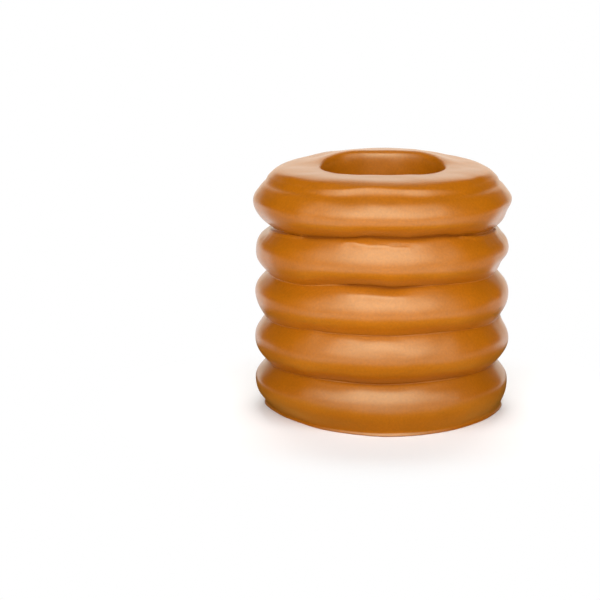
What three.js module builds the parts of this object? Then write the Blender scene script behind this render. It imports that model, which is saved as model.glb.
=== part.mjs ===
// A spit cake in five rings, coated all over in milk chocolate, with the bore that the spit leaves down its middle.
// Millimetres, +Z up, with the origin at the middle of the underside. Cake and coat are one solid.

import * as THREE from "three";
import { mergeVertices } from "three/addons/utils/BufferGeometryUtils.js";

// The rings from the bottom up: where each is widest, its belt.
const BELTS = [
  { height: 15.2, radius: 60.1 },
  { height: 34.8, radius: 61.0 },
  { height: 56.0, radius: 60.9 },
  { height: 78.4, radius: 60.2 },
  { height: 101.0, radius: 61.9 },
];

// The creases between the rings, from the bottom up.
const CREASES = [
  { height: 24.2, radius: 56.6 },
  { height: 45.5, radius: 56.5 },
  { height: 67.1, radius: 56.2 },
  { height: 87.6, radius: 55.6 },
];

const FOOT = { height: 0, radius: 57.7 };
const FOOT_FULLNESS = 0.8;
const RING_FULLNESS = 1.3;
const STEPS_TO_A_BELT = 4;

const BORE_RADIUS = 29.3;
const BORE_EDGE = 1.5;

// The top: a sunk line under a low ridge at the shoulder, a gently crowned ring, and a round lip into the bore.
const TOP_HEIGHT = 116.9;
const CROWN_RADIUS = 41;
const SHOULDER_LINE = { height: 110.6, radius: 56.9 };
const SHOULDER_RIDGE = { height: 114.3, radius: 53.8 };
const LIP_HEIGHT = 8.4;
const LIP_WIDTH = 5.2;
const TOP_STEPS = 18;

const TURN_STEPS = 72;

// The coat is laid on by hand: each ring leans and swells a little, and its creases rise and fall.
const SWELL = 0.35;
const CREASE_WAVE = 0.6;
const LEVEL_BELOW = 8;
const WAVE_TURN = 0.06;

// Points of the outline from one crease up to a belt, or down to it, without the belt itself.
function halfRing(crease, belt, fullness) {
  const points = [];
  for (let step = 0; step < STEPS_TO_A_BELT; step += 1) {
    const share = step / STEPS_TO_A_BELT;
    const swell = Math.sin((share * Math.PI) / 2) ** fullness;
    const radius = THREE.MathUtils.lerp(crease.radius, belt.radius, swell);
    points.push(new THREE.Vector2(radius, THREE.MathUtils.lerp(crease.height, belt.height, share)));
  }
  return points;
}

// The outside from the underside's edge up to the top ring's belt.
function ringsOutline() {
  const points = [];
  BELTS.forEach((belt, ring) => {
    const below = ring === 0 ? FOOT : CREASES[ring - 1];
    points.push(...halfRing(below, belt, ring === 0 ? FOOT_FULLNESS : RING_FULLNESS));
    if (ring < CREASES.length) {
      points.push(new THREE.Vector2(belt.radius, belt.height));
      points.push(...halfRing(CREASES[ring], belt, RING_FULLNESS).slice(1).reverse());
    }
  });
  return points;
}

// The top from the last belt over the shoulder and the crown to the wall of the bore.
function topOutline() {
  const belt = BELTS[BELTS.length - 1];
  const curve = new THREE.SplineCurve([
    new THREE.Vector2(belt.radius, belt.height),
    new THREE.Vector2(belt.radius - 1.6, belt.height + 5.6),
    new THREE.Vector2(SHOULDER_LINE.radius, SHOULDER_LINE.height),
    new THREE.Vector2(SHOULDER_RIDGE.radius, SHOULDER_RIDGE.height),
    new THREE.Vector2((SHOULDER_RIDGE.radius + CROWN_RADIUS) / 2, TOP_HEIGHT - 0.8),
    new THREE.Vector2(CROWN_RADIUS, TOP_HEIGHT),
    new THREE.Vector2(BORE_RADIUS + LIP_WIDTH, TOP_HEIGHT - 0.12 * LIP_HEIGHT),
    new THREE.Vector2(BORE_RADIUS + 0.3 * LIP_WIDTH, TOP_HEIGHT - 0.48 * LIP_HEIGHT),
    new THREE.Vector2(BORE_RADIUS, TOP_HEIGHT - LIP_HEIGHT),
  ]);
  return curve.getPoints(TOP_STEPS);
}

// The bore's wall down to the underside, which closes the outline back to its first point.
function boreOutline() {
  return [
    new THREE.Vector2(BORE_RADIUS, TOP_HEIGHT / 2),
    new THREE.Vector2(BORE_RADIUS, BORE_EDGE),
    new THREE.Vector2(BORE_RADIUS + BORE_EDGE, 0),
    new THREE.Vector2(FOOT.radius, FOOT.height),
  ];
}

// Moves each point of the turned shape a little, and leaves the underside flat.
function layUneven(geometry) {
  const place = geometry.attributes.position;
  const point = new THREE.Vector3();
  for (let index = 0; index < place.count; index += 1) {
    point.fromBufferAttribute(place, index);
    const angle = Math.atan2(point.y, point.x);
    const radius = Math.hypot(point.x, point.y);
    const free = Math.min(point.z / LEVEL_BELOW, 1);
    const outer = THREE.MathUtils.clamp((radius - BORE_RADIUS) / (FOOT.radius - BORE_RADIUS), 0, 1);
    const turn = WAVE_TURN * point.z;
    const swell = SWELL * free * (Math.sin(2 * angle + turn) + Math.sin(3 * angle - 2 * turn));
    const lift = CREASE_WAVE * free * outer * Math.sin(3 * angle + 1.7 * turn);
    const scale = (radius + swell) / radius;
    place.setXYZ(index, point.x * scale, point.y * scale, point.z + lift);
  }
}

function cakeGeometry() {
  const outline = [...ringsOutline(), ...topOutline(), ...boreOutline()];
  const turned = new THREE.LatheGeometry(outline, TURN_STEPS);
  turned.rotateX(Math.PI / 2);
  turned.deleteAttribute("normal");
  turned.deleteAttribute("uv");
  const geometry = mergeVertices(turned, 0.001);
  layUneven(geometry);
  geometry.computeVertexNormals();
  return geometry;
}

const milkChocolate = new THREE.MeshStandardMaterial({ color: 0xb8742c, roughness: 0.3, metalness: 0 });
const cake = new THREE.Mesh(cakeGeometry(), milkChocolate);
cake.name = "cake";

const part = new THREE.Group();
part.add(cake);

export default part;
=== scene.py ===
"""A spit cake in five rings, coated all over in milk chocolate. Metres, +Z up, the front towards -Y."""

import math

import bpy
import numpy as np
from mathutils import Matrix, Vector


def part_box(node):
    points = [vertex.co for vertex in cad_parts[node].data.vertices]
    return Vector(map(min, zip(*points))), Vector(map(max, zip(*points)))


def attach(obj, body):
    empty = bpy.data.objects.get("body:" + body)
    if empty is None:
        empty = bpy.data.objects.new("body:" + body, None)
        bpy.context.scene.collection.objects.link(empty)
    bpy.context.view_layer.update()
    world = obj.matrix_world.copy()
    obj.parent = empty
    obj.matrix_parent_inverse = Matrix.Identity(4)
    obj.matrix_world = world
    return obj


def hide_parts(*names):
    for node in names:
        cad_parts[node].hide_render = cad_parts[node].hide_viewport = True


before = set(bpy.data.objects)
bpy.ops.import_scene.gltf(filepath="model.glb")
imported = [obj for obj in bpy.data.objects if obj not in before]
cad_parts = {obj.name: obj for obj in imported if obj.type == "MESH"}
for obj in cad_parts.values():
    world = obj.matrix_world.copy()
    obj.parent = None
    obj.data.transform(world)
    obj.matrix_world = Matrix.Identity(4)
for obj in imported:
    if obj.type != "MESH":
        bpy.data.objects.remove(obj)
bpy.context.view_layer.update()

LOW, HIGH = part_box("cake")

# The cake is worked out in a small unit of its own, a 117th of its height, which is a millimetre of the real
# one. Angles are in degrees round from the front, positive to the right.
HEIGHT_UNITS = 117.0
UNIT = (HIGH.z - LOW.z) / HEIGHT_UNITS

# Each ring from the bottom up: how high its belt is, where it is widest, and how far out.
BELTS = ((15.4, 60.9), (35.0, 61.0), (56.6, 60.9), (78.2, 60.3), (101.4, 61.7))
# The creases between the rings: how high and how far out.
CREASES = ((23.4, 54.2), (45.8, 54.6), (67.9, 53.4), (89.9, 53.2))
# How far the lips of a crease stand above and below it, and out from it.
LIP_ABOVE = (0.6, 0.9)
LIP_BELOW = (-0.5, 1.0)
RING_ROUNDNESS = 2.15
# The lowest ring slopes in more evenly above its belt.
LOW_RING_ROUNDNESS = 1.3
STEPS_TO_A_BELT = 4
# The coat's edge on the table: a low flange all round.
FOOT = ((0.0, 58.9), (0.25, 58.9), (1.2, 58.4), (1.6, 57.9))

# Over the top from the last belt inwards: a shelf, the low step above it, the top itself, the bore's lip.
TOP = ((103.3, 61.0), (105.0, 59.8), (106.4, 58.7), (107.8, 57.6), (108.9, 56.6), (109.8, 55.5),
       (112.0, 55.0), (112.7, 54.2), (113.9, 53.0), (115.1, 51.4), (116.0, 49.3), (116.6, 46.5),
       (116.8, 42.4), (116.9, 38.0), (117.1, 34.5), (117.2, 31.7), (116.7, 30.0), (115.4, 29.0),
       (113.0, 28.6))
BORE_RADIUS = 28.9
BORE_LOOPS = (106.0, 95.0, 80.0, 60.0, 40.0, 20.0, 6.0, 1.5)
UNDERSIDE_LOOPS = ((0.0, 30.8), (0.0, 40.0), (0.0, 49.0))

TURN_STEPS = 72
# Points closer together than this are one.
WELD = 0.01


# ---- hands on the mesh ----

def deselect_all():
    bpy.ops.object.select_all(action="DESELECT")


def choose(piece):
    """Selects the piece alone and makes it the active one."""
    deselect_all()
    bpy.context.view_layer.objects.active = piece
    piece.select_set(True)


def edit(piece):
    choose(piece)
    bpy.ops.object.mode_set(mode="EDIT")


def leave_edit():
    bpy.ops.object.mode_set(mode="OBJECT")


def place(azimuth, height, radius):
    """A point by its angle, its height and its radius."""
    turn = math.radians(azimuth)
    return Vector((math.sin(turn) * radius, -math.cos(turn) * radius, height)) * UNIT


def take_hold(piece, points):
    """Selects the vertex nearest to each point and opens the piece for editing."""
    mesh = piece.data
    for part in (mesh.vertices, mesh.edges, mesh.polygons):
        part.foreach_set("select", np.zeros(len(part), dtype=bool))
    spots = np.empty(len(mesh.vertices) * 3)
    mesh.vertices.foreach_get("co", spots)
    spots = spots.reshape(-1, 3)
    for point in points:
        mesh.vertices[int(np.argmin(((spots - point) ** 2).sum(axis=1)))].select = True
    edit(piece)
    bpy.context.tool_settings.mesh_select_mode = (True, False, False)


def pull(piece, azimuth, height, radius, out=0.0, up=0.0, reach=12.0):
    """Draws one place of the piece outwards and upwards, and what lies within reach of it along with it."""
    take_hold(piece, [place(azimuth, height, radius)])
    outward = place(azimuth, 0, out)
    bpy.ops.transform.translate(value=outward + Vector((0, 0, up * UNIT)), use_proportional_edit=True,
                                proportional_edit_falloff="SMOOTH", proportional_size=reach * UNIT)
    leave_edit()


def between(strays, azimuth):
    """How far a loop strays at an angle, eased between the listed places on either side of it."""
    before = max((stray for stray in strays if stray[0] <= azimuth), key=lambda stray: stray[0])
    after = min((stray for stray in strays if stray[0] > azimuth), key=lambda stray: stray[0])
    share = (azimuth - before[0]) / (after[0] - before[0])
    return before[1] + (after[1] - before[1]) * share * share * (3 - 2 * share)


SWEEP_STEP = 5


def sweep(piece, height, radius, strays, reach, out=0.0, up=0.0):
    """Draws a loop up, or out, by an amount that changes on the way round."""
    spacing = math.radians(SWEEP_STEP) * radius
    for azimuth in range(strays[0][0], strays[-1][0], SWEEP_STEP):
        amount = between(strays, azimuth) * spacing / reach
        pull(piece, azimuth, height, radius, out * amount, up * amount, reach)


def draw_bead(piece, places, out, reach):
    """Swells the piece a little along a line through some places, each an angle, a height and a radius."""
    points = []
    for before, after in zip(places, places[1:]):
        steps = int(after[0] - before[0])
        points += [place(*(first + (last - first) * step / steps for first, last in zip(before, after)))
                   for step in range(steps)]
    take_hold(piece, points)
    bpy.ops.transform.shrink_fatten(value=out * UNIT, use_proportional_edit=True,
                                    proportional_edit_falloff="SMOOTH", proportional_size=reach * UNIT)
    leave_edit()


# ---- the coat ----

def half_ring(crease, belt, roundness=RING_ROUNDNESS):
    """Heights and radii from a crease to just short of its belt."""
    steps = []
    for step in range(STEPS_TO_A_BELT):
        share = step / STEPS_TO_A_BELT
        swell = 1 - (1 - share) ** roundness
        steps.append((crease[0] + (belt[0] - crease[0]) * share, crease[1] + (belt[1] - crease[1]) * swell))
    return steps


def outline():
    """Heights and radii all the way round the section, from the edge of the underside."""
    loops = list(FOOT)
    for ring, belt in enumerate(BELTS):
        below = CREASES[ring - 1] if ring else FOOT[-1]
        loops += half_ring(below, belt)[1:]
        loops.append(belt)
        if ring < len(CREASES):
            crease = CREASES[ring]
            loops += reversed(half_ring(crease, belt, RING_ROUNDNESS if ring else LOW_RING_ROUNDNESS)[1:])
            loops += [(crease[0] + up, crease[1] + out) for up, out in (LIP_BELOW, (0, 0), LIP_ABOVE)]
    loops += TOP
    loops += [(height, BORE_RADIUS) for height in BORE_LOOPS]
    loops += UNDERSIDE_LOOPS
    return loops


def turn_coat():
    """The outline drawn point by point from one vertex, spun round the bore and closed."""
    deselect_all()
    loops = outline()
    bpy.ops.mesh.primitive_plane_add(size=UNIT)
    coat = bpy.context.object
    coat.name = "chocolate_coat"
    bpy.ops.object.mode_set(mode="EDIT")
    bpy.ops.mesh.merge(type="CENTER")
    bpy.ops.transform.translate(value=(0, -loops[0][1] * UNIT, loops[0][0] * UNIT))
    for before, after in zip(loops, loops[1:]):
        step = (0, (before[1] - after[1]) * UNIT, (after[0] - before[0]) * UNIT)
        bpy.ops.mesh.extrude_region_move(TRANSFORM_OT_translate={"value": step})
    bpy.ops.mesh.select_all(action="SELECT")
    bpy.ops.mesh.edge_face_add()
    bpy.ops.mesh.delete(type="ONLY_FACE")
    bpy.ops.mesh.select_all(action="SELECT")
    bpy.ops.mesh.spin(steps=TURN_STEPS, angle=2 * math.pi, center=(0, 0, 0), axis=(0, 0, 1))
    bpy.ops.mesh.select_all(action="SELECT")
    bpy.ops.mesh.remove_doubles(threshold=WELD * UNIT)
    bpy.ops.mesh.normals_make_consistent(inside=False)
    leave_edit()
    return coat


# How far each crease strays above or below its level round the cake, the lowest crease first.
CREASE_STRAYS = (
    ((-180, 0.6), (-130, -0.8), (-90, 0.2), (-60, 0.0), (-40, 0.9), (-20, 1.0), (0, 0.6), (20, 1.0),
     (40, 1.0), (60, 0.6), (90, 1.0), (140, -0.2), (180, 0.6)),
    ((-180, -0.5), (-130, 0.4), (-90, -1.2), (-60, -0.6), (-35, 0.9), (-8, 1.4), (5, 1.2), (25, 1.5),
     (45, 0.8), (60, 0.0), (90, -0.2), (140, 0.6), (180, -0.5)),
    ((-180, 0.9), (-130, 0.2), (-90, -1.7), (-60, -1.6), (-40, -1.2), (-22, 1.6), (-12, 2.2), (0, 1.5),
     (12, 1.2), (25, 1.4), (45, 0.2), (60, -0.3), (90, 0.3), (140, -0.6), (180, 0.9)),
    ((-180, -0.4), (-130, -0.9), (-90, -2.2), (-60, -0.3), (-40, -0.3), (-20, 1.3), (0, 2.1), (20, 1.8),
     (40, 0.9), (60, -0.6), (90, -1.2), (140, 0.8), (180, -0.4)),
)
# How far each crease is filled out round the cake.
CREASE_FILLS = (
    ((-180, 0.4), (-120, -0.3), (-60, 0.0), (-32, -0.4), (0, 0.2), (32, -0.4), (60, 0.0), (120, 0.6),
     (180, 0.4)),
    ((-180, 0.0), (-110, 1.0), (-70, 0.4), (-38, 0.2), (0, 0.9), (30, 0.3), (75, 0.8), (90, 2.2),
     (120, 0.8), (180, 0.0)),
    ((-180, 0.8), (-100, 0.2), (-60, 0.7), (-30, -0.2), (-14, 0.4), (12, 0.4), (30, -0.3), (60, 0.7),
     (100, 0.2), (180, 0.8)),
    ((-180, 0.4), (-140, 0.2), (-115, -1.6), (-90, -2.4), (-65, -0.4), (-50, 0.0), (0, 0.3), (90, -0.6),
     (140, 1.2), (180, 0.4)),
)
# How strong the painted shade of each crease is round the cake.
CREASE_PAINTED_SHADE = (
    ((-180, 0.6), (-60, 0.5), (-28, 0.5), (0, 0.75), (28, 0.5), (60, 0.5), (180, 0.6)),
    ((-180, 0.5), (-60, 0.4), (0, 0.6), (60, 0.4), (180, 0.5)),
    ((-180, 0.6), (-60, 0.2), (-28, 0.2), (-14, 0.9), (10, 0.9), (30, 0.3), (60, 0.2), (180, 0.6)),
    ((-180, 0.5), (-60, 0.5), (-35, 0.9), (0, 0.85), (35, 0.9), (60, 0.5), (180, 0.5)),
)
# The share of that on the lips of a crease.
LIP_SHARE = 0.45
# Short waves in the creases: which crease, at what angle, and how far up.
CREASE_WAVES = ((3, -8, 0.5), (3, 13, -0.3), (3, 31, 0.4), (2, 4, -0.4), (1, -35, 0.4))
CREASE_REACH = 15
FILL_REACH = 5
WAVE_REACH = 9

# How far the foot is drawn in round the cake, and how far the wall above it follows.
FOOT_STRAYS = ((-180, 0.0), (-130, -0.4), (-95, -1.6), (-66, -6.0), (-50, -7.2), (-27, -4.4), (-14, -3.0),
               (2, -0.6), (18, -1.2), (32, -2.0), (50, -3.0), (70, -2.4), (95, 0.2), (140, -0.8), (180, 0.0))
FOOT_REACH = 9
WALL_SHARE = 0.3
WALL_STRAYS = [(azimuth, WALL_SHARE * stray) for azimuth, stray in FOOT_STRAYS]
WALL_LOOP = (6.0, 60.0)
WALL_REACH = 9

# The low step above the shelf comes up and in round the front.
STEP_LOOP = (111.5, 54.95)
STEP_STRAYS = ((-38, 0.0), (-28, 0.3), (-18, 0.9), (-8, 2.2), (0, 2.3), (9, 1.8), (18, 1.3), (28, 0.9),
               (40, 0.0))
STEP_REACH = 5
# The bore's lip dips a little on both sides of the front and stands higher behind.
BORE_LIP_LOOP = (117.1, 31.9)
BORE_LIP_STRAYS = ((-180, 0.3), (-140, 1.4), (-115, 1.2), (-90, 0.0), (-55, -0.6), (0, 0.0), (55, -0.6),
              (90, 0.0), (115, 1.2), (140, 1.4), (180, 0.3))
BORE_LIP_REACH = 8
# The top's edge is drawn in at the sides.
SIDE_LOOP = (112.8, 54.1)
SIDE_STRAYS = ((-180, 0.0), (-140, -0.6), (-88, -0.4), (-64, -1.6), (-44, -1.2), (-22, 0.0), (22, 0.0),
               (44, -1.3), (64, -1.9), (88, -0.6), (140, -0.5), (180, 0.0))
SIDE_REACH = 7
# The top as a whole is a little higher at the back.
BACK_PLACE = (180, 117.3, 42.0)
BACK_RISE = 2.8
BACK_REACH = 62

# Where a ring stands forward or back from its even round: the height and radius, how far at each angle, and
# how wide about.
BROWS = (
    (102.4, 61.4, ((-62, 0.0), (-40, -0.5), (0, -0.7), (40, -0.5), (62, 0.0)), 7),
    (15.8, 60.8, ((-62, 0.0), (-40, -0.6), (0, -1.0), (40, -0.6), (62, 0.0)), 7),
    (66.5, 56.5, ((-24, 0.0), (-14, 0.9), (-3, 1.3), (8, 1.2), (18, 0.0)), 4),
    (44.6, 56.4, ((-30, 0.0), (-14, 0.4), (4, 0.4), (12, 0.2), (24, 0.0)), 4),
    (22.2, 56.6, ((-26, 0.0), (-14, 0.35), (14, 0.35), (26, 0.0)), 4),
    (89.5, 56.4, ((-22, 0.0), (-12, 0.9), (0, 0.8), (12, 0.7), (20, 0.4), (28, 0.0)), 4),
    (42.8, 57.6, ((-18, 0.0), (-8, 0.5), (6, 0.5), (16, 0.0)), 5),
    (72.6, 58.8, ((55, 0.0), (75, -1.6), (105, -1.8), (130, 0.0)), 6),
    (72.0, 58.4, ((-120, 0.0), (-100, 0.8), (-75, 0.8), (-60, 0.0)), 7),
    (96.5, 61.0, ((50, 0.0), (75, -1.5), (105, -1.6), (130, 0.0)), 7),
    (85.8, 57.2, ((-125, 0.0), (-100, -0.6), (-72, -0.6), (-45, 0.0)), 4),
    (85.8, 57.2, ((45, 0.0), (72, -0.6), (100, -0.6), (125, 0.0)), 4),
)

# Thin beads of chocolate that set as they ran: the line each follows, how far out and how wide about.
BEADS = (
    (((-17, 89.8, 56.6), (-10, 89.5, 57.0), (-2, 88.4, 57.4), (14, 87.5, 57.6)), 0.32, 1.7),
    (((-82, 86.4, 53.0), (-72, 87.4, 54.0), (-62, 88.2, 54.6), (-50, 88.7, 54.6), (-41, 89.5, 53.4)),
     0.65, 1.5),
    (((41, 89.7, 53.4), (52, 88.6, 54.6), (64, 87.8, 54.5), (74, 87.2, 54.1), (82, 86.8, 53.0)), 0.65, 1.5),
)

# The swells of the coat's surface: how broad and how high, and up to what height there are none.
SWELL_SIZE = 17
SWELL_HEIGHT = 1.1
BARE_BELOW = 1.5


def apply_modifier(piece, name):
    choose(piece)
    bpy.ops.object.modifier_apply(modifier=name)


def smooth(piece):
    modifier = piece.modifiers.new("smooth", "SUBSURF")
    modifier.levels = 1
    modifier.render_levels = 1
    apply_modifier(piece, "smooth")


def mark_creases(coat):
    """Notes on the mesh how deep in a crease each place lies, scaled by the strength of that crease's
    painted shade, for the colour.
    """
    edit(coat)
    bpy.ops.geometry.attribute_add(name="depth", domain="POINT", data_type="FLOAT")
    leave_edit()
    for (height, radius), strengths in zip(CREASES, CREASE_PAINTED_SHADE):
        for (up, out), share in (((0, 0), 1.0), (LIP_ABOVE, LIP_SHARE), (LIP_BELOW, LIP_SHARE)):
            for azimuth in range(-180, 180, SWEEP_STEP):
                take_hold(coat, [place(azimuth, height + up, radius + out)])
                bpy.ops.mesh.attribute_set(value_float=between(strengths, azimuth) * share)
                leave_edit()


def unevenness(coat):
    """The slight swells of a coat that was poured on by hand, everywhere but underneath."""
    points = coat.data.vertices
    points.foreach_set("select", [point.co.z > BARE_BELOW * UNIT for point in points])
    edit(coat)
    bpy.ops.object.vertex_group_assign_new()
    leave_edit()
    texture = bpy.data.textures.new("swells", "CLOUDS")
    texture.noise_scale = SWELL_SIZE * UNIT
    texture.noise_depth = 1
    texture.noise_basis = "IMPROVED_PERLIN"
    modifier = coat.modifiers.new("swells", "DISPLACE")
    modifier.texture = texture
    modifier.texture_coords = "LOCAL"
    modifier.vertex_group = coat.vertex_groups[0].name
    modifier.strength = SWELL_HEIGHT * UNIT
    apply_modifier(coat, "swells")
    bpy.ops.object.vertex_group_remove(all=True)


def shape_creases(coat):
    """Each crease is filled out in places and wanders up and down."""
    for crease, strays, fills in zip(CREASES, CREASE_STRAYS, CREASE_FILLS):
        sweep(coat, *crease, fills, FILL_REACH, out=1)
        sweep(coat, *crease, strays, CREASE_REACH, up=1)


def shape_foot(coat):
    """Drawn in unevenly where it meets the table."""
    sweep(coat, *WALL_LOOP, WALL_STRAYS, WALL_REACH, out=1)
    sweep(coat, *FOOT[0], FOOT_STRAYS, FOOT_REACH, out=1)


def shape_top(coat):
    sweep(coat, *SIDE_LOOP, SIDE_STRAYS, SIDE_REACH, out=1)
    sweep(coat, *STEP_LOOP, STEP_STRAYS, STEP_REACH, out=-1, up=1)
    sweep(coat, *BORE_LIP_LOOP, BORE_LIP_STRAYS, BORE_LIP_REACH, up=1)
    pull(coat, *BACK_PLACE, up=BACK_RISE, reach=BACK_REACH)


def shape_details(coat):
    """The short waves in the creases, and the rings' brows."""
    for number, azimuth, rise in CREASE_WAVES:
        height, radius = CREASES[number]
        strayed = height + between(CREASE_STRAYS[number], azimuth)
        pull(coat, azimuth, strayed, radius, up=rise, reach=WAVE_REACH)
    for height, radius, strays, reach in BROWS:
        sweep(coat, height, radius, strays, reach, out=1)


coat = turn_coat()
mark_creases(coat)
shape_creases(coat)
shape_foot(coat)
shape_top(coat)
smooth(coat)
shape_details(coat)
unevenness(coat)
smooth(coat)
for line, out, reach in BEADS:
    draw_bead(coat, line, out, reach)
bpy.ops.object.shade_smooth()

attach(coat, "root")
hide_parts("cake")


# ---- shading ----

class Wire:
    """One output of a shader node. Arithmetic on it adds the Math nodes to its tree."""

    def __init__(self, tree, socket=None):
        self.tree = tree
        self.socket = socket

    def node(self, kind, settings=None, sockets=None, output=0):
        """Adds a node: its settings first, then the values or wires of its sockets."""
        node = self.tree.nodes.new(kind)
        for name, value in (settings or {}).items():
            setattr(node, name, value)
        for name, value in (sockets or {}).items():
            if isinstance(value, Wire):
                self.tree.links.new(value.socket, node.inputs[name])
            else:
                node.inputs[name].default_value = value
        return Wire(self.tree, node.outputs[output] if node.outputs else None)

    def math(self, operation, *values):
        return self.node("ShaderNodeMath", {"operation": operation}, dict(enumerate(values)))

    def __add__(self, other):
        return self.math("ADD", self, other)

    def __sub__(self, other):
        return self.math("SUBTRACT", self, other)

    def __rsub__(self, other):
        return self.math("SUBTRACT", other, self)

    def __mul__(self, other):
        return self.math("MULTIPLY", self, other)

    __radd__ = __add__
    __rmul__ = __mul__

    def axes(self):
        """The three parts of a vector."""
        split = self.node("ShaderNodeSeparateXYZ", {}, {0: self}).socket.node
        return [Wire(self.tree, socket) for socket in split.outputs]

    def step(self, start, end):
        """Nothing at the start, one at the end, and an easy rise between."""
        sockets = {"Value": self, "From Min": start, "From Max": end}
        return self.node("ShaderNodeMapRange", {"interpolation_type": "SMOOTHSTEP"}, sockets)

    def blend(self, first, second):
        """The first colour where this is nothing, the second where it is one."""
        sockets = {0: self, 6: first, 7: second}
        return self.node("ShaderNodeMix", {"data_type": "RGBA"}, sockets, output=2)


def new_material(name):
    material = bpy.data.materials.new(name)
    material.use_nodes = True
    material.node_tree.nodes.clear()
    return material, Wire(material.node_tree)


CHOCOLATE = (0.345, 0.0985, 0.0008, 1)
# Deep in a crease the coat is dull, and its colour is darkened with painted shade.
CREASE_SHADE_CHOCOLATE = (0.17, 0.042, 0.0009, 1)
CREASE_ROUGHNESS = 0.8
CREASE_GLOSS = 0.1
# How deep in a crease the coat begins to dull and take the painted shade, and how deep it is wholly so.
DULL_DEPTHS = (0.15, 0.9)
# The gloss is warm where it is seen straight on.
GLOSS_TINT = (1.0, 0.98, 0.68, 1)
GLOSS = 0.9
ROUGHNESS = 0.3
# Painted shade: the coat's colour is darker over the lowest rings, where less light falls on them.
PAINTED_SHADE_AT_FOOT = 0.79
PAINTED_SHADE_HEIGHTS = (4, 60)
# Dark spots and light ones in the coat, and the fine grain of it: how many to a metre, and how strong.
MOTTLE = (70, 0.2)
GRAIN = (900, 0.5)
NOISE_DETAIL = 2.0


def specks(start, spot, scale, strength):
    """Spots that go either way from nothing, by half the strength at the most."""
    noise = start.node("ShaderNodeTexNoise", {}, {"Vector": spot, "Scale": scale, "Detail": NOISE_DETAIL})
    return (noise - 0.5) * strength


def milk_chocolate():
    """Milk chocolate with a soft shine, dull in the creases, with painted shade in the creases and over the
    lowest rings.
    """
    material, start = new_material("milk_chocolate")
    spot = start.node("ShaderNodeTexCoord", output="Object")
    _, _, height = spot.axes()
    # Painted shade, darker towards the foot.
    painted_shade = (height * (1 / UNIT)).step(*PAINTED_SHADE_HEIGHTS) * (1 - PAINTED_SHADE_AT_FOOT) + PAINTED_SHADE_AT_FOOT
    shade = (specks(start, spot, *MOTTLE) + specks(start, spot, *GRAIN) + 1) * painted_shade
    shades = start.node("ShaderNodeCombineXYZ", {}, {0: shade, 1: shade, 2: shade})
    colour = start.node("ShaderNodeVectorMath", {"operation": "MULTIPLY"}, {0: shades, 1: CHOCOLATE[:3]})
    glossy = start.node("ShaderNodeBsdfPrincipled", {}, {
        "Base Color": colour, "Roughness": ROUGHNESS, "Specular IOR Level": GLOSS,
        "Specular Tint": GLOSS_TINT})
    # The crease coat's darker colour is painted shade.
    dull = start.node("ShaderNodeBsdfPrincipled", {}, {
        "Base Color": CREASE_SHADE_CHOCOLATE, "Roughness": CREASE_ROUGHNESS, "Specular IOR Level": CREASE_GLOSS})
    depth = start.node("ShaderNodeAttribute", {"attribute_name": "depth"}, output="Fac")
    mix = start.node("ShaderNodeMixShader", {}, {0: depth.step(*DULL_DEPTHS), 1: glossy, 2: dull})
    start.node("ShaderNodeOutputMaterial", {}, {"Surface": mix})
    return material


coat.data.materials.append(milk_chocolate())


# ---- the studio ----

FLOOR_RADIUS = 1.5
BACKDROP_RADIUS = 3.0
BACKDROP_HEIGHT = 3.0
STAGE_SIDES = 64
# The warm light that the floor gives back to the cake in front, the share of it that is left behind, and the
# angles that it fades between.
FLOOR_BOUNCE = (0.82, 0.55, 0.13)
BOUNCE_BEHIND = 0.25
BOUNCE_FADES = (95, 45)
# The grey that is seen of the floor, and how far out it goes over into white.
FLOOR_SEEN = 0.97
WHITE_BEYOND = (0.085, 0.135)
# The white floor's light on the cake comes from further out than the white that is seen.
GLOW_SHARE = 0.7
# How strong that light is beside the cake, and what is added to it in front and behind.
GLOW_BESIDE = 0.4
GLOW_IN_FRONT = 1.0
FRONT_GLOW_FADES = (85, 45)
GLOW_BEHIND = 0.9
BACK_GLOW_FADES = (105, 130)


def round_from_front(start, x, y):
    """Degrees round from the front, the same to both sides."""
    return start.math("ABSOLUTE", start.math("ARCTAN2", x, y * -1)) * math.degrees(1)


def stage_material():
    """A pale floor that goes over into plain white away from the cake."""
    material, start = new_material("stage")
    seen = start.node("ShaderNodeLightPath", output="Is Camera Ray")
    spot = start.node("ShaderNodeTexCoord", output="Object")
    x, y, _ = spot.axes()
    side = round_from_front(start, x, y)
    share = side.step(*BOUNCE_FADES) * (1 - BOUNCE_BEHIND) + BOUNCE_BEHIND
    shades = {channel: share * bounce * (1 - seen) + seen * FLOOR_SEEN
              for channel, bounce in enumerate(FLOOR_BOUNCE)}
    colour = start.node("ShaderNodeCombineColor", {}, shades)
    floor = start.node("ShaderNodeBsdfDiffuse", {}, {"Color": colour})
    added = side.step(*FRONT_GLOW_FADES) * GLOW_IN_FRONT + side.step(*BACK_GLOW_FADES) * GLOW_BEHIND
    glow = added + GLOW_BESIDE
    white = start.node("ShaderNodeEmission", {}, {"Strength": glow + seen * (1 - glow)})
    away = start.node("ShaderNodeVectorMath", {"operation": "LENGTH"}, {0: spot}, output="Value")
    beyond = (away * (seen * (1 - GLOW_SHARE) + GLOW_SHARE)).step(*WHITE_BEYOND)
    mix = start.node("ShaderNodeMixShader", {}, {0: beyond, 1: floor, 2: white})
    start.node("ShaderNodeOutputMaterial", {}, {"Surface": mix})
    return material


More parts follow.
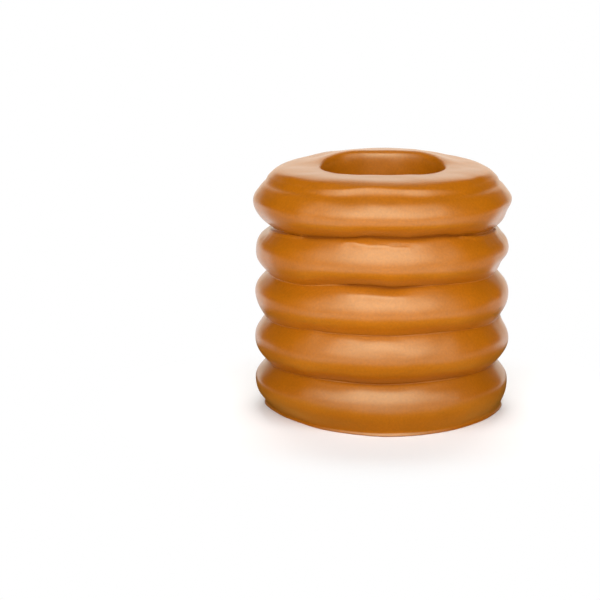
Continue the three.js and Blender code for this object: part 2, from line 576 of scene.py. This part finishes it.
def build_stage():
    material = stage_material()
    deselect_all()
    bpy.ops.mesh.primitive_circle_add(vertices=STAGE_SIDES, radius=FLOOR_RADIUS, fill_type="NGON")
    floor = bpy.context.object
    floor.name = "floor"
    deselect_all()
    bpy.ops.mesh.primitive_circle_add(vertices=STAGE_SIDES, radius=FLOOR_RADIUS)
    backdrop = bpy.context.object
    backdrop.name = "backdrop"
    bpy.ops.object.mode_set(mode="EDIT")
    bpy.ops.mesh.select_all(action="SELECT")
    bpy.ops.mesh.extrude_region_move(TRANSFORM_OT_translate={"value": (0, 0, 0)})
    bpy.ops.transform.resize(value=(BACKDROP_RADIUS / FLOOR_RADIUS, BACKDROP_RADIUS / FLOOR_RADIUS, 1))
    bpy.ops.mesh.extrude_region_move(TRANSFORM_OT_translate={"value": (0, 0, BACKDROP_HEIGHT)})
    leave_edit()
    # Only the camera sees the backdrop. The light comes past it.
    backdrop.visible_diffuse = False
    backdrop.visible_glossy = False
    backdrop.visible_shadow = False
    backdrop.visible_transmission = False
    for piece in (floor, backdrop):
        piece.data.materials.append(material)


# Angles of the lights in the sky go from where there is nothing of the light to where it is full.
# The front light: how strong it is on the level, and how much stronger with each degree up.
FRONT_LIGHT = 2.55
FRONT_LIGHT_RISE = 0.05
FRONT_LIGHT_SIDES = (93, 10)
FRONT_LIGHT_TOP = (63, 40)
# Low down only a share of it is left.
FRONT_LIGHT_FOOT = (-6, 24)
FOOT_SHARE = 0.3
# The white sky behind, which reaches further round to the sides low down.
BACK_LIGHT = 1.4
BACK_LIGHT_SIDES = (146, 159)
BACK_LIGHT_TOP = (55, 35)
BACK_LIGHT_SPREAD = 12
SPREAD_BELOW = (12, 0)
BACK_LIGHT_TINT = (1, 0.95, 0.84, 1)
TINT_SIDES = (100, 140)
DIM = 0.015


def light_studio():
    """A tall soft light in front, a low white sky behind, and little else."""
    world = bpy.data.worlds.new("studio")
    bpy.context.scene.world = world
    world.use_nodes = True
    world.node_tree.nodes.clear()
    start = Wire(world.node_tree)
    x, y, z = start.node("ShaderNodeTexCoord", output="Generated").axes()
    side = round_from_front(start, x, y)
    elevation = start.math("ARCSINE", z) * math.degrees(1)
    low = elevation.step(*FRONT_LIGHT_FOOT) * (1 - FOOT_SHARE) + FOOT_SHARE
    front = side.step(*FRONT_LIGHT_SIDES) * elevation.step(*FRONT_LIGHT_TOP) * low
    front = front * (elevation * FRONT_LIGHT_RISE + FRONT_LIGHT)
    spread = elevation.step(*SPREAD_BELOW) * BACK_LIGHT_SPREAD
    back = (side + spread).step(*BACK_LIGHT_SIDES) * elevation.step(*BACK_LIGHT_TOP) * BACK_LIGHT
    tint = side.step(*TINT_SIDES).blend((1, 1, 1, 1), BACK_LIGHT_TINT)
    background = start.node("ShaderNodeBackground", {}, {"Color": tint, "Strength": front + back + DIM})
    start.node("ShaderNodeOutputWorld", {}, {"Surface": background})


# Three broad lights soften the cake and a tiny one lights the bore. None of them leaves a gleam. Where each
# hangs, how broad and how strong it is, and what it points at.
LIGHTS = {
    "top_light": ((0, 0.35, 0.6), 0.5, 2.4, (0, 0, 0)),
    "left_light": ((-0.56, -0.3, 0.1), 0.15, 1.1, (0, 0, 0)),
    "right_light": ((0.56, -0.3, 0.1), 0.15, 1.1, (0, 0, 0)),
    "bore_light": ((0, -0.02, 0.088), 0.012, 0.0055, (0, 1, 0.088)),
}


def hang_light(name, spot, size, power, aim):
    """A soft light that is seen neither by itself nor in the shine."""
    data = bpy.data.lights.new(name, "AREA")
    data.size = size
    data.energy = power
    lamp = bpy.data.objects.new(name, data)
    lamp.location = spot
    lamp.rotation_euler = (Vector(aim) - Vector(spot)).to_track_quat("-Z", "Y").to_euler()
    lamp.visible_glossy = False
    lamp.visible_camera = False
    bpy.context.scene.collection.objects.link(lamp)


VIEW_ELEVATION = math.radians(11.5)
VIEW_DISTANCE = 0.96
VIEW_CENTRE = (0, 0, 59.3)
# The cake stands right of the middle of the frame, and a little above it.
AIM_ASIDE = -39.1
AIM_DOWN = 7.6
LENS = 120
SENSOR = 36


def set_camera():
    centre = Vector(VIEW_CENTRE) * UNIT
    back = Vector((0, -math.cos(VIEW_ELEVATION), math.sin(VIEW_ELEVATION)))
    down = Vector((0, -math.sin(VIEW_ELEVATION), -math.cos(VIEW_ELEVATION)))
    spot = centre + back * VIEW_DISTANCE
    aim = centre + Vector((AIM_ASIDE * UNIT, 0, 0)) + down * AIM_DOWN * UNIT
    data = bpy.data.cameras.new("camera")
    data.lens = LENS
    data.sensor_width = SENSOR
    camera = bpy.data.objects.new("camera", data)
    camera.location = spot
    camera.rotation_euler = (aim - spot).to_track_quat("-Z", "Y").to_euler()
    bpy.context.scene.collection.objects.link(camera)
    bpy.context.scene.camera = camera
    bpy.context.scene.view_settings.view_transform = "Standard"


build_stage()
light_studio()
for name, settings in LIGHTS.items():
    hang_light(name, *settings)
set_camera()
